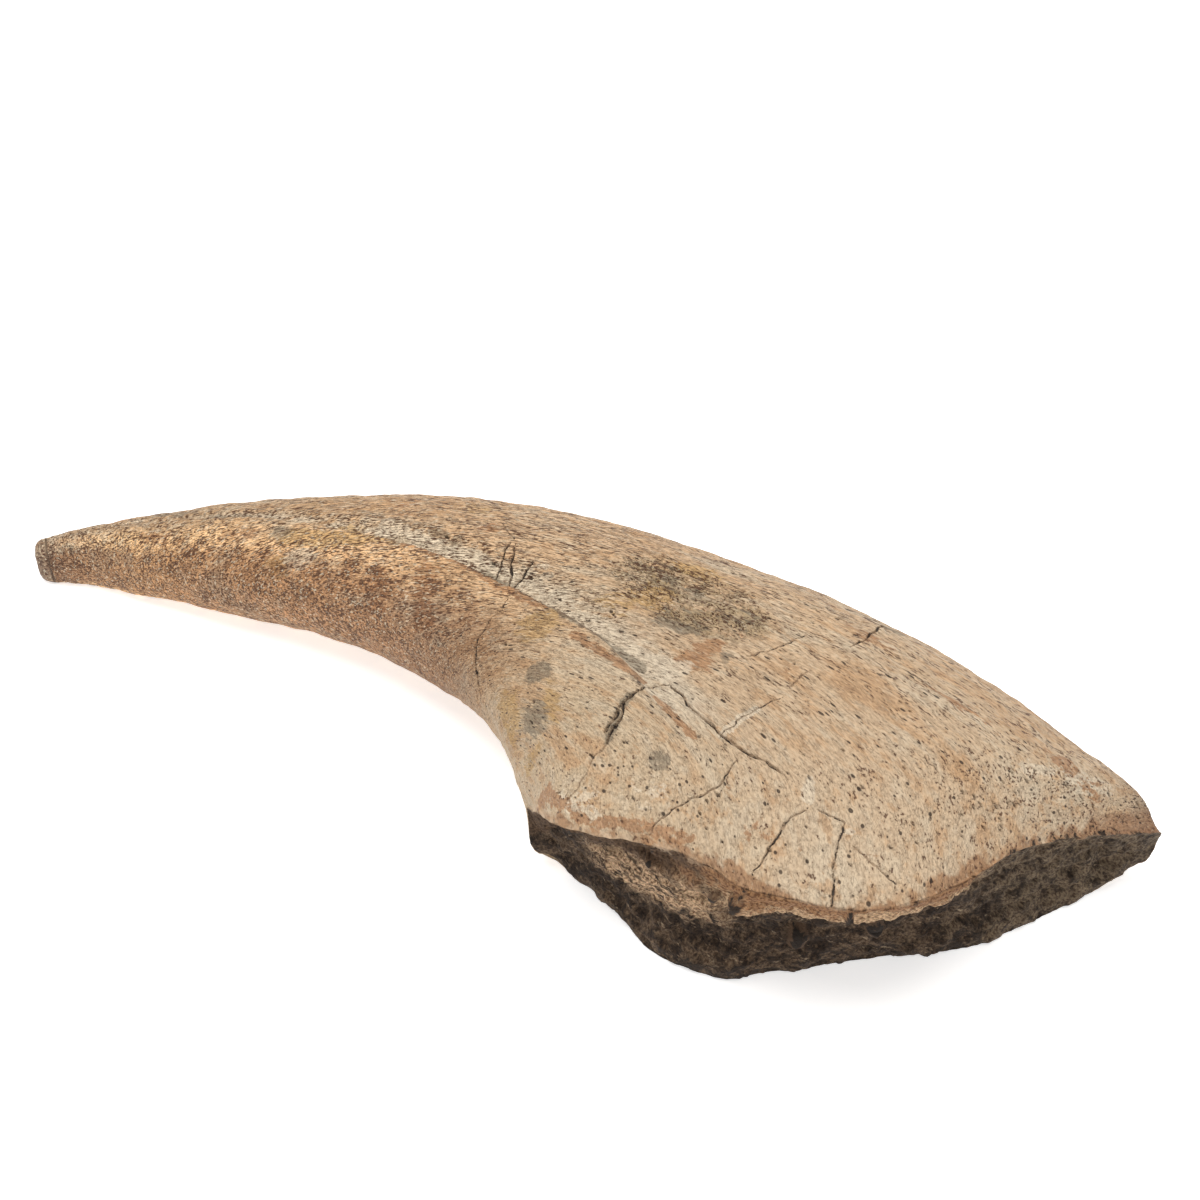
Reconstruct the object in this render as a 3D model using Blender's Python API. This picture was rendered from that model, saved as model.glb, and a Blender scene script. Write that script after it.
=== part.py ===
"""A fossil claw of a large dinosaur, lying on its flank: one solid piece of mineralised bone.

Metres, +Z up. The tip points towards -X, the back (dorsal edge) towards +Y and the broken
base towards -Y. The origin is under the middle of the claw, on the surface it rests on.
"""

import bmesh
import bpy
import numpy as np
from mathutils import Vector, noise

MM = 0.001

# Stations from the broken base to the tip, in millimetres seen from above: the ventral
# edge's x and y, the dorsal edge's x and y, and the thickness from flank to flank.
STATIONS = (
    (1.0, -27.0, 103.0, -30.0, 13.0),
    (-4.0, -20.0, 96.5, -24.5, 24.5),
    (-9.5, -7.0, 73.0, 4.0, 29.0),
    (-17.5, 5.5, 42.5, 29.5, 30.0),
    (-32.5, 19.0, 9.5, 49.0, 28.5),
    (-49.0, 29.5, -20.5, 60.0, 25.0),
    (-67.0, 38.0, -53.0, 62.5, 21.0),
    (-81.5, 45.0, -78.0, 62.0, 16.5),
    (-93.0, 51.0, -96.0, 60.5, 12.5),
    (-102.5, 53.0, -104.5, 59.5, 10.0),
)
# The vessel groove at each station: where its sharp ventral lip and the top of its
# dorsal wall lie between the edges (-1 ventral, 1 dorsal), and its depth.
GROOVE = (
    (-0.45, -0.20, 0.0),
    (-0.45, -0.20, 0.0),
    (-0.48, -0.22, 2.4),
    (-0.52, -0.27, 3.0),
    (-0.50, -0.25, 2.6),
    (-0.42, -0.22, 1.4),
    (-0.20, -0.02, 0.7),
    (-0.10, 0.05, 0.3),
    (-0.10, 0.05, 0.0),
    (-0.10, 0.05, 0.0),
)
# The rim of the broken base on the upper flank, from the ventral to the dorsal corner.
UPPER_RIM = (
    (-0.5, -27, 12),
    (1.5, -34, 17),
    (4.5, -40.5, 21),
    (9.5, -44.5, 23.2),
    (20, -50.2, 26.2),
    (27, -55.2, 27),
    (32, -59.5, 27),
    (38.5, -61.2, 27),
    (46.5, -63.4, 27),
    (54.5, -62.2, 26.8),
    (61.5, -58, 26),
    (71, -50.2, 24),
    (81, -42.8, 21),
    (93, -36.7, 15.5),
    (98.5, -34.4, 12.5),
    (101.6, -32.6, 10.5),
    (102.3, -30.5, 7.5),
)
# The same rim on the lower flank, which has broken further back.
LOWER_RIM = (
    (-0.5, -27, 12),
    (-0.2, -28.7, 6),
    (3.2, -30.2, 3),
    (8.5, -34.3, 0),
    (12.4, -38.7, 0),
    (19.9, -48.4, 0),
    (26, -52.1, 0),
    (31.5, -53.5, 0),
    (36, -52.3, 0),
    (59, -48.4, 0),
    (71, -46.3, 0),
    (80.2, -41.2, 0),
    (89.9, -34.7, 0.6),
    (96, -31.8, 2),
    (99.5, -30.8, 3.2),
    (101.6, -30.8, 5),
    (102.3, -30.5, 7.5),
)
BASE_REACH = 0.33  # the part of the length over which the sections turn into the rim
VENTRAL_FULLNESS = 2.4  # exponent of the superellipse on the fat ventral side
DORSAL_FULLNESS = 2.0

RINGS = 60
VENTRAL_COLUMNS = 11
DORSAL_COLUMNS = 17
# Across the groove from lip to wall top: place, and share of the groove's depth.
GROOVE_PROFILE = ((0.0, -0.06), (0.2, 1.0), (0.55, 0.6), (1.0, 0.0))

# Rows of the broken face from the lower to the upper rim: place, and depth of the hollow.
# The denser bone just under the upper rim overhangs the rest.
FACE_ROWS = ((0.1, -0.2), (0.25, 1.4), (0.45, 2.8), (0.65, 2.9), (0.74, 2.4), (0.8, 0.5), (0.9, 0.0))
FACE_CENTRE = (38.0, -5.0)  # the hollow goes in towards this point
FACE_FULL_HEIGHT = 22.0  # where the face is lower than this, the hollow is shallower
# A ledge of spongy bone stands out near the ventral corner: shares of the rim and the height.
LEDGE_PLACE = 0.25
LEDGE_WIDTH = 0.1
LEDGE_HEIGHT = 0.6
LEDGE_SPREAD = 0.2
LEDGE_OUT = 4.0

TIP_ROWS = ((0.9, 1.0), (0.66, 2.0), (0.35, 2.7))  # size of each closing ring, and how far out it is
TIP_OUT = 2.9  # how far out the end point is

# Hollows worn into the upper flank: x, y, radius and depth.
HOLLOWS = (
    (28.5, 10.0, 7.0, 0.9),
    (27.0, -1.0, 4.0, 0.8),
    (2.0, -17.0, 7.0, 0.5),
)

LUMP_SIZE = 17.0
LUMP_HEIGHT = 0.45
LUMP_NOISE = (0.8, 2.0, 3)  # how fast smaller lumps fade, step between sizes, how many sizes
UPWARD = 0.3  # a surface whose normal rises more than this belongs to the upper flank
FACE_ROUGH_SIZE = 5.0
FACE_ROUGH_HEIGHT = 0.9
FACE_ROUGH_NOISE = (0.7, 2.0, 2)
REST_FLAT = 0.6  # the lower flank is worn flat by this much where it lies

BONE_COLOUR = (0.56, 0.40, 0.26, 1.0)
BONE_ROUGHNESS = 0.75


def curve_through(points, at):
    """Values at the parameters at (0 to 1) of the smooth curve through points."""
    known = np.asarray(points, float)
    known = np.concatenate([2 * known[:1] - known[1:2], known, 2 * known[-1:] - known[-2:-1]])
    place = np.clip(at, 0, 1) * (len(known) - 3)
    first = np.minimum(place.astype(int), len(known) - 4)
    f = (place - first)[:, None]
    a, b, c, d = (known[first + i] for i in range(4))
    return b + 0.5 * f * (c - a + f * (2 * a - 5 * b + 4 * c - d + f * (3 * (b - c) + d - a)))


def rim_at(rim, share):
    """Points of a rim at shares of its length seen from above."""
    known = np.asarray(rim, float)
    steps = np.linalg.norm(np.diff(known[:, :2], axis=0), axis=1)
    along = np.concatenate([[0], np.cumsum(steps)]) / steps.sum()
    return np.stack([np.interp(share, along, known[:, axis]) for axis in range(3)], axis=-1)


def fullness(place):
    return np.where(place < 0, VENTRAL_FULLNESS, DORSAL_FULLNESS)


def angle_at(place):
    """The angle at which the section is at this place between its edges (-1 to 1)."""
    return np.arccos(np.sign(place) * np.abs(place) ** (fullness(place) / 2))


def column_angles(lip, top):
    """Angles of the columns from the ventral to the dorsal edge, closest at the groove."""
    lip_angle = float(angle_at(lip))
    top_angle = float(angle_at(top))
    steps = np.array([place for place, _ in GROOVE_PROFILE])
    ventral = np.linspace(np.pi, lip_angle, VENTRAL_COLUMNS, endpoint=False)
    dorsal = np.linspace(top_angle, 0, DORSAL_COLUMNS + 1)[1:]
    return np.concatenate([ventral, lip_angle + (top_angle - lip_angle) * steps, dorsal])


def flank(station, groove):
    """Places between the edges (-1 to 1), and the points of one upper flank section."""
    lip, top, depth = groove
    angles = column_angles(lip, top)
    cosine = np.cos(angles)
    power = 2 / fullness(cosine)
    place = np.sign(cosine) * np.abs(cosine) ** power
    height = np.abs(np.sin(angles)) ** power
    ventral, dorsal, thickness = station[0:2], station[2:4], station[4]
    points = np.empty((len(angles), 3))
    points[:, :2] = (ventral + dorsal) / 2 + (dorsal - ventral) / 2 * place[:, None]
    points[:, 2] = thickness / 2 * height
    start = VENTRAL_COLUMNS
    for column, (_, share) in enumerate(GROOVE_PROFILE):
        points[start + column, 2] -= depth * share
    return place, points


def claw_rings():
    """Both flanks' points, ring by ring from the base to the tip, before any relief."""
    at = np.linspace(0, 1, RINGS)
    stations = curve_through(STATIONS, at)
    grooves = curve_through(GROOVE, at)
    grooves[:, 2] = np.maximum(grooves[:, 2], 0)
    uppers, lowers = [], []
    for ring in range(RINGS):
        middle = stations[ring, 4] / 2
        place, points = flank(stations[ring], grooves[ring])
        upper = points + (0, 0, middle)
        lower = points * (1, 1, -1) + (0, 0, middle)
        if ring == 0:
            share = (place + 1) / 2
            upper_pull = rim_at(UPPER_RIM, share) - upper
            lower_pull = rim_at(LOWER_RIM, share) - lower
        fade = max(1 - at[ring] / BASE_REACH, 0) ** 2
        uppers.append(upper + fade * upper_pull)
        lowers.append(lower + fade * lower_pull)
    return np.array(uppers), np.array(lowers)


def face_row(upper, lower, place, depth):
    """One row of the broken face, hollowed between the rims and out at the ledge."""
    points = lower + (upper - lower) * place
    inward = np.array(FACE_CENTRE) - points[:, :2]
    inward /= np.linalg.norm(inward, axis=1)[:, None]
    share = np.linspace(0, 1, len(points))
    room = np.minimum((upper[:, 2] - lower[:, 2]) / FACE_FULL_HEIGHT, 1)
    ledge = np.exp(-(((share - LEDGE_PLACE) / LEDGE_WIDTH) ** 2) - ((place - LEDGE_HEIGHT) / LEDGE_SPREAD) ** 2)
    points[:, :2] += inward * (room * (depth - LEDGE_OUT * ledge))[:, None]
    return points


def build_rings(bm, rings):
    """Rows of vertices, each ring joined to the one before by quads."""
    rows = [[bm.verts.new(point) for point in ring] for ring in rings]
    count = len(rows[0])
    for back, front in zip(rows, rows[1:]):
        for i in range(count):
            j = (i + 1) % count
            bm.faces.new((back[i], back[j], front[j], front[i]))
    return rows


def close_base(bm, base, upper, lower):
    """The broken face: rows of points between the two halves of the first ring."""
    last = len(upper) - 1
    grid = [[base[0]] + [base[-column] for column in range(1, last)] + [base[last]]]
    for place, depth in FACE_ROWS:
        points = face_row(upper, lower, place, depth)
        row = [bm.verts.new(points[column]) for column in range(1, last)]
        grid.append([base[0]] + row + [base[last]])
    grid.append(base[: last + 1])
    for under, over in zip(grid, grid[1:]):
        for column in range(last):
            corners = (under[column], under[column + 1], over[column + 1], over[column])
            bm.faces.new(tuple(dict.fromkeys(corners)))
    room = upper[:, 2] - lower[:, 2]
    return {row[column]: room[column] for row in grid[1:-1] for column in range(1, last)}


def close_tip(bm, ring, before):
    """The blunt tip: smaller rings and a middle point."""
    middle = sum((vert.co for vert in ring), Vector()) / len(ring)
    behind = sum((vert.co for vert in before), Vector()) / len(before)
    outward = (middle - behind).normalized()
    count = len(ring)
    outer = ring
    for size, out in TIP_ROWS:
        inner = [bm.verts.new(middle + (vert.co - middle) * size + outward * out) for vert in ring]
        for i in range(count):
            j = (i + 1) % count
            bm.faces.new((outer[i], outer[j], inner[j], inner[i]))
        outer = inner
    end = bm.verts.new(middle + outward * TIP_OUT)
    for i in range(count):
        bm.faces.new((outer[i], outer[(i + 1) % count], end))


def hollow_depth(point):
    depth = 0.0
    for x, y, radius, deepest in HOLLOWS:
        away = (point.x - x) ** 2 + (point.y - y) ** 2
        depth += deepest * np.exp(-away / radius**2)
    return depth


def add_relief(bm, face_verts):
    """Low lumps over the flanks, hollows in the upper one, and the rough broken face."""
    bm.normal_update()
    moves = {}
    for vert in bm.verts:
        lumps = noise.fractal(vert.co / LUMP_SIZE, *LUMP_NOISE) * LUMP_HEIGHT
        rough = 0.0
        if vert in face_verts:
            rough = noise.fractal(vert.co / FACE_ROUGH_SIZE, *FACE_ROUGH_NOISE) * FACE_ROUGH_HEIGHT
            rough *= min(face_verts[vert] / FACE_FULL_HEIGHT, 1)
        if vert.normal.z > UPWARD:
            lumps -= hollow_depth(vert.co)
        moves[vert] = vert.normal * (lumps + rough)
    for vert, move in moves.items():
        vert.co += move


def lay_down(bm):
    """Wear the lower flank flat and put the middle of the claw over the origin."""
    for vert in bm.verts:
        vert.co.z = max(vert.co.z - REST_FLAT, 0)
    low = [min(vert.co[axis] for vert in bm.verts) for axis in range(2)]
    high = [max(vert.co[axis] for vert in bm.verts) for axis in range(2)]
    middle = Vector(((low[0] + high[0]) / 2, (low[1] + high[1]) / 2, 0))
    for vert in bm.verts:
        vert.co = (vert.co - middle) * MM


def bone_material():
    material = bpy.data.materials.new("fossil bone")
    material.use_nodes = True
    shader = material.node_tree.nodes["Principled BSDF"]
    shader.inputs["Base Color"].default_value = BONE_COLOUR
    shader.inputs["Roughness"].default_value = BONE_ROUGHNESS
    shader.inputs["Metallic"].default_value = 0.0
    return material


def make_claw(collection):
    uppers, lowers = claw_rings()
    rings = [list(up) + list(down[-2:0:-1]) for up, down in zip(uppers, lowers)]
    bm = bmesh.new()
    rows = build_rings(bm, rings)
    face_verts = close_base(bm, rows[0], uppers[0], lowers[0])
    close_tip(bm, rows[-1], rows[-3])
    bmesh.ops.recalc_face_normals(bm, faces=bm.faces)
    add_relief(bm, face_verts)
    lay_down(bm)
    mesh = bpy.data.meshes.new("claw")
    bm.to_mesh(mesh)
    bm.free()
    mesh.shade_smooth()
    mesh.materials.append(bone_material())
    claw = bpy.data.objects.new("claw", mesh)
    collection.objects.link(claw)


def main():
    for leftover in list(bpy.data.objects):
        bpy.data.objects.remove(leftover, do_unlink=True)
    collection = bpy.data.collections.new("dinosaur fossil claw")
    bpy.context.scene.collection.children.link(collection)
    make_claw(collection)


main()
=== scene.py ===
import math

import bpy
import numpy as np
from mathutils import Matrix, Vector, noise


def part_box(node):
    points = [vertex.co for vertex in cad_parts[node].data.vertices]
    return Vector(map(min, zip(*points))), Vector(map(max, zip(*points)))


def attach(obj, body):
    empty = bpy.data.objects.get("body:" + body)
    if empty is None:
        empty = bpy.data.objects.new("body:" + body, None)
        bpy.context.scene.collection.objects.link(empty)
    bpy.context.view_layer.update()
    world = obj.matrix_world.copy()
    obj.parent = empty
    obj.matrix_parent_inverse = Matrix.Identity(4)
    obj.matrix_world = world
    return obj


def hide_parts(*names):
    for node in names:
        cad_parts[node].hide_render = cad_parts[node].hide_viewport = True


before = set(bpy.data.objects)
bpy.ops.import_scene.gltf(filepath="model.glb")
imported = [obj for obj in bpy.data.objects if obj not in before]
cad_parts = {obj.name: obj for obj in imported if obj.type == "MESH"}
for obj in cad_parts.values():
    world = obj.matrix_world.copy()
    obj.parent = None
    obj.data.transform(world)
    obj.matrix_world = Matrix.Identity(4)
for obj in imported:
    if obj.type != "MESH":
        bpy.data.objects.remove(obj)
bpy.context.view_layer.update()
mm = 0.001
print("frame loaded")

# The claw's form, in mm. x runs along it with the tip at -x, y from the belly edge to the back edge,
# z from the flank it lies on to the flank that shows.
clawForm = {
    # base to tip: belly edge x and y, back edge x and y, thickness
    "stations": (
        (1.0, -27.0, 103.0, -30.0, 13.0),
        (-2.6, -19.4, 97.0, -23.2, 24.5),
        (-7.9, -6.4, 73.6, 4.7, 29.0),
        (-17.1, 5.7, 42.5, 29.5, 30.0),
        (-32.5, 19.0, 9.5, 49.0, 28.5),
        (-49.0, 29.5, -20.5, 60.0, 25.0),
        (-67.0, 38.0, -53.0, 62.5, 21.0),
        (-81.5, 45.0, -78.0, 62.0, 16.5),
        (-93.0, 51.0, -96.0, 60.5, 12.5),
        (-102.5, 53.0, -104.5, 59.5, 10.0),
    ),
    # the vessel groove at each station: its sharp lip and the top of its far wall, from -1 at the belly edge
    # to 1 at the back edge, and its depth
    "groove": (
        (-0.45, -0.20, 0.0),
        (-0.45, -0.20, 0.0),
        (-0.48, -0.22, 2.4),
        (-0.52, -0.27, 3.0),
        (-0.50, -0.25, 2.6),
        (-0.42, -0.22, 1.4),
        (-0.20, -0.02, 0.7),
        (-0.10, 0.05, 0.3),
        (-0.10, 0.05, 0.0),
        (-0.10, 0.05, 0.0),
    ),
    "grooveWall": 0.2,  # share of the groove's width that the steep wall under the lip takes
    # rims of the broken base from the belly corner to the back corner: x, y, z
    "upperRim": (
        (-0.5, -27, 12), (1.5, -34, 17), (4.5, -40.5, 21), (9.5, -44.5, 23.2), (20, -50.2, 26.2),
        (27, -55.2, 27), (32, -59.5, 27), (38.5, -61.2, 27), (46.5, -63.4, 27), (54.5, -62.2, 26.8),
        (61.5, -58, 26), (71, -50.2, 24), (81, -42.8, 21), (93, -36.7, 16), (98.5, -34.4, 13.4),
        (101.6, -32.6, 11.5), (102.3, -30.5, 8.2),
    ),
    "lowerRim": (
        (-0.5, -27, 12), (-0.2, -28.7, 6), (3.8, -29.4, 3), (9.1, -33.2, 0), (13.2, -37.7, 0),
        (19.9, -48.4, 0), (26, -52.1, 0), (31.5, -53.5, 0), (36, -52.3, 0), (59, -48.4, 0), (71, -46.3, 0),
        (80.2, -41.6, 0), (89.9, -36, 0.2), (96, -32.8, 1.4), (99.5, -31, 2.8), (101.6, -30.8, 5),
        (102.3, -30.5, 8.2),
    ),
    "baseReach": 0.33,  # share of the length over which the sections turn into the rims
    "bellyFullness": 2.4,
    "backFullness": 2.0,
    "tipOut": 2.9,  # how far the blunt end stands out past the last station
    "tipBlunt": 0.6,  # 1 for a round end, lower for a squarer one
    # the broken face from the lower to the upper rim: place, depth of the hollow
    "faceHollow": (
        (0, 0), (0.1, -0.2), (0.25, 1.4), (0.45, 2.8), (0.65, 2.9), (0.8, 2.2), (0.9, 1.2), (1, 0),
    ),
    "faceCentre": (38.0, -5.0),
    "faceFullHeight": 22.0,
    # the spongy ledge near the belly corner: its shares of the rim and of the height, how far it stands out
    "ledge": {"place": 0.25, "width": 0.1, "height": 0.6, "spread": 0.2, "out": 3.4},
    # the rounded band of dense bone under the upper rim: shares of the rim where it starts and ends, share
    # of the height where its underside is, how far it stands out
    "band": {"start": (0.2, 0.36), "end": (0.6, 0.72), "under": 0.7, "out": 3.0},
    # how far from the rim the flank starts to turn down, and by how much: at the belly side and the back side
    "rimRound": (4.0, 6.0),
    "rimDrop": (1.1, 1.6),
    # worn hollows: x, y, radius, depth
    "hollows": ((28.5, 10.0, 7.0, 0.9), (27.0, -1.0, 4.0, 0.8), (2.0, -17.0, 7.0, 0.5)),
    "lumpSize": 17.0,
    "lumpHeight": 0.45,
    "wearSize": 4.5,  # the smaller dips and bumps on both flanks
    "wearHeight": 0.16,
    "faceRoughSize": 5.0,
    "faceRoughHeight": 0.9,
    "restFlat": 0.6,  # how much of the flank it lies on is worn flat
    "grainLength": 190.0,  # how long the bone's fibres are from base to tip
}

# How fine the mesh is, in mm: the first grid, then the longest edge left in each region.
clawMesh = {
    "rings": 190,
    "crowding": 1.25,  # above 1 the rings stand closer together near the base
    "anglesTried": 240,
    "tipTurns": (18, 34, 48, 62, 75),  # where the rings of the blunt end lie, in degrees from its rim
    "gridUpper": 0.93,
    "gridGroove": 0.7,
    "gridLower": 1.5,
    "gridFace": 1.12,
    "edgeUpper": 0.96,
    "edgeLower": 2.3,
    "edgeFace": 0.82,
    "edgeCrack": 0.27,
    "edgePore": 0.3,
    "edgeSponge": 0.42,
    "passes": 6,
    "edgeElsewhere": 9.0,
    "crackReach": 0.42,  # how far from a crack the fine edges go
    "mapCell": 0.2,  # how fine the map of these lengths is
    "rimReach": 12.0,  # how far from the rim the distance to it is worked out
}


def smoothThrough(known, knots, at):
    # smooth curve through known values at their knots
    known, knots, at = np.asarray(known, float), np.asarray(knots, float), np.asarray(at, float)
    slopes = np.gradient(known, knots, axis=0)
    spot = np.clip(np.searchsorted(knots, at, side="right") - 1, 0, len(knots) - 2)
    gap = knots[spot + 1] - knots[spot]
    f = np.clip((at - knots[spot]) / gap, 0, 1)
    if known.ndim > 1:
        gap, f = gap[..., None], f[..., None]
    start, end = known[spot], known[spot + 1]
    leave, arrive = slopes[spot] * gap, slopes[spot + 1] * gap
    bend = f * f * (3 - 2 * f)
    return start + (end - start) * bend + f * (1 - f) ** 2 * leave - f * f * (1 - f) * arrive


def smoothStep(value, low, high):
    f = np.clip((value - low) / (high - low), 0, 1)
    return f * f * (3 - 2 * f)


def lengthOf(vectors):
    return np.linalg.norm(vectors, axis=-1)


def rimAt(rim, share):
    known = np.array(rim, float)
    run = np.concatenate([[0], np.cumsum(lengthOf(np.diff(known[:, :2], axis=0)))])
    return smoothThrough(known, run / run[-1], share)


def tableAt(name, along):
    # the row of one of clawForm's tables at this share of the length
    table = clawForm[name]
    return smoothThrough(table, np.linspace(0, 1, len(table)), along)


def halfWidth(along):
    station = tableAt("stations", along)
    return lengthOf(station[:, 2:4] - station[:, 0:2]) / 2


def angleOf(place):
    power = clawForm["bellyFullness"] if place < 0 else clawForm["backFullness"]
    return math.acos(math.copysign(abs(place) ** (power / 2), place))


def sectionPoints(along, angle, side):
    # one flank's sections before the base is broken off: side 1 is the flank that shows
    station = tableAt("stations", along)
    lip, top, depth = tableAt("groove", along).T
    cosine, sine = np.cos(angle), np.abs(np.sin(angle))
    power = 2 / np.where(cosine < 0, clawForm["bellyFullness"], clawForm["backFullness"])
    place = np.sign(cosine) * np.abs(cosine) ** power
    across = (place - lip) / (top - lip)
    wall = clawForm["grooveWall"]
    carve = smoothStep(across, -0.04, wall) * (1 - np.clip((across - wall) / (1 - wall), 0, 1) ** 1.2)
    belly, back, thick = station[:, 0:2], station[:, 2:4], station[:, 4]
    points = np.empty((len(along), 3))
    points[:, :2] = (belly + back) / 2 + (back - belly) / 2 * place[:, None]
    points[:, 2] = thick / 2 + side * (thick / 2 * sine**power - np.maximum(depth, 0) * carve)
    return points, place


def flankPoints(along, angle, side):
    along = np.broadcast_to(np.asarray(along, float), np.shape(angle))
    points, place = sectionPoints(along, angle, side)
    start, _ = sectionPoints(along * 0, angle, side)
    rim = rimAt(clawForm["upperRim"] if side > 0 else clawForm["lowerRim"], (place + 1) / 2)
    fade = np.maximum(1 - along / clawForm["baseReach"], 0) ** 2
    return points + fade[:, None] * (rim - start), place


def evenAngles(along, start, end, side, step):
    # angles that leave even steps on the surface between two angles of a section
    dense = np.linspace(start, end, clawMesh["anglesTried"])
    run = np.concatenate([[0], np.cumsum(lengthOf(np.diff(flankPoints(along, dense, side)[0], axis=0)))])
    count = max(2, round(run[-1] / step))
    return np.interp(np.linspace(0, run[-1], count + 1), run, dense)


def zipRows(back, front):
    # triangles between two rows of vertex numbers, whatever their counts
    made, i, j = [], 0, 0
    while i < len(back) - 1 or j < len(front) - 1:
        nextBack = (i + 1) / (len(back) - 1) if i < len(back) - 1 else 9
        nextFront = (j + 1) / (len(front) - 1) if j < len(front) - 1 else 9
        if nextBack < nextFront:
            made.append((back[i], back[i + 1], front[j]))
            i += 1
        else:
            made.append((back[i], front[j + 1], front[j]))
            j += 1
    return [t for t in made if len(set(t)) == 3]


class Shell:
    # the claw's skin while it is built: points in mm, what is known of each point, and triangles
    def __init__(self):
        self.points, self.facts, self.triangles = [], [], []

    def addPoints(self, points, along, place, rise, face):
        # returns the numbers of the new vertices
        first = len(self.points)
        count = len(points)
        self.points += [tuple(p) for p in points]
        facts = [np.broadcast_to(fact, count).tolist() for fact in (along, place, rise, face)]
        self.facts += list(zip(*facts))
        return list(range(first, first + count))

    def settle(self):
        self.points = np.array(self.points, float)
        self.facts = np.array(self.facts, float)
        self.triangles = np.array(self.triangles, int)
        corners = self.points[self.triangles]
        if np.linalg.det(corners).sum() < 0:
            self.triangles = self.triangles[:, ::-1]

    def normals(self):
        corners = self.points[self.triangles]
        flat = np.cross(corners[:, 1] - corners[:, 0], corners[:, 2] - corners[:, 0])
        total = np.empty_like(self.points)
        for axis in range(3):
            weights = np.repeat(flat[:, axis], 3)
            total[:, axis] = np.bincount(self.triangles.ravel(), weights, len(self.points))
        return total / np.maximum(lengthOf(total), 1e-12)[:, None]


def addFlanks(shell):
    # rings of vertices from the broken base to the tip, each in four stretches that meet at the same lines
    rings = []
    for number, along in enumerate(np.linspace(0, 1, clawMesh["rings"]) ** clawMesh["crowding"]):
        lip, top, _ = tableAt("groove", along)
        lipAngle, topAngle = angleOf(lip), angleOf(top)
        stretches = [
            evenAngles(along, math.pi, lipAngle, 1, clawMesh["gridUpper"]),
            evenAngles(along, lipAngle, topAngle, 1, clawMesh["gridGroove"]),
            evenAngles(along, topAngle, 0, 1, clawMesh["gridUpper"]),
        ]
        if number:
            under = evenAngles(along, 0, math.pi, -1, clawMesh["gridLower"])
        else:
            under = np.concatenate([a[:-1] for a in stretches] + [[0]])[::-1]
        upper = np.concatenate([a[:-1] for a in stretches])
        points, place = flankPoints(along, upper, 1)
        ring = shell.addPoints(points, along, place, 1, 0)
        points, place = flankPoints(along, under[:-1], -1)
        ring += shell.addPoints(points, along, place, 0, 0)
        ends = np.cumsum([0] + [len(a) - 1 for a in stretches] + [len(under) - 1])
        loop = ring + [ring[0]]
        rings.append([loop[a : b + 1] for a, b in zip(ends, ends[1:])])
    for back, front in zip(rings, rings[1:]):
        for rowBack, rowFront in zip(back, front):
            shell.triangles += zipRows(rowBack, rowFront)
    return rings[0], rings[-1], rings[-3]


def addTip(shell, last, before):
    # the blunt end: smaller rings that bulge out past the last one
    loop = [number for stretch in last for number in stretch[:-1]]
    rim = np.array([shell.points[number] for number in loop])
    middle = rim.mean(axis=0)
    behind = np.mean([shell.points[number] for stretch in before for number in stretch[:-1]], axis=0)
    outward = (middle - behind) / lengthOf(middle - behind)
    places = [shell.facts[number][1] for number in loop]
    outer = loop + [loop[0]]
    for turn in np.radians(clawMesh["tipTurns"]):
        count = max(6, round(len(loop) * math.cos(turn)))
        pick = np.linspace(0, len(loop), count, endpoint=False).astype(int)
        size = math.cos(turn) ** clawForm["tipBlunt"]
        points = middle + (rim[pick] - middle) * size + outward * clawForm["tipOut"] * math.sin(turn)
        inner = shell.addPoints(points, 1, np.array(places)[pick], 0.5, 0)
        inner.append(inner[0])
        shell.triangles += zipRows(outer, inner)
        outer = inner
    end = shell.addPoints([middle + outward * clawForm["tipOut"]], 1, 0, 0.5, 0)
    shell.triangles += zipRows(outer, end)


def bandStrength(share):
    # 1 where the rounded band under the rim is at its fullest
    band = clawForm["band"]
    return smoothStep(share, *band["start"]) * (1 - smoothStep(share, *band["end"]))


def facePoints(lower, upper, share, rise):
    # a column of the broken face between its two rims, hollowed, with the ledge and the band standing out
    ledge = clawForm["ledge"]
    hollow = np.array(clawForm["faceHollow"])
    points = lower + (upper - lower) * rise[:, None]
    inward = np.array(clawForm["faceCentre"]) - points[:, :2]
    inward /= lengthOf(inward)[:, None]
    room = min((upper[2] - lower[2]) / clawForm["faceFullHeight"], 1)
    depth = smoothThrough(hollow[:, 1], hollow[:, 0], rise)
    sideways, upward = (share - ledge["place"]) / ledge["width"], (rise - ledge["height"]) / ledge["spread"]
    depth -= ledge["out"] * np.exp(-(sideways**2 + upward**2))
    band = clawForm["band"]
    under = band["under"] + noise.noise((share * 70, 3.1, 0.0)) * 0.03
    down = (1 - rise) / (1 - under)
    depth -= band["out"] * bandStrength(share) * np.sqrt(down) * (1 - smoothStep(down, 0.8, 1.1))
    points[:, :2] += inward * (room * depth)[:, None]
    return points


def addFace(shell, base):
    # the broken face, column by column from the belly corner to the back corner
    upper = [number for stretch in base[:3] for number in stretch[:-1]] + [base[3][0]]
    lower = [base[0][0]] + base[3][-2:0:-1] + [base[3][0]]
    columns = []
    for low, high in zip(lower, upper):
        if low == high:
            columns.append([low])
            continue
        start, end = np.array(shell.points[low]), np.array(shell.points[high])
        count = max(2, round(float(lengthOf(end - start)) / clawMesh["gridFace"]))
        rise = np.linspace(0, 1, count + 1)[1:-1]
        place = shell.facts[high][1]
        points = facePoints(start, end, (place + 1) / 2, rise)
        columns.append([low] + shell.addPoints(points, 0, place, rise, 1) + [high])
    for back, front in zip(columns, columns[1:]):
        shell.triangles += zipRows(back, front)
    return upper


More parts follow.
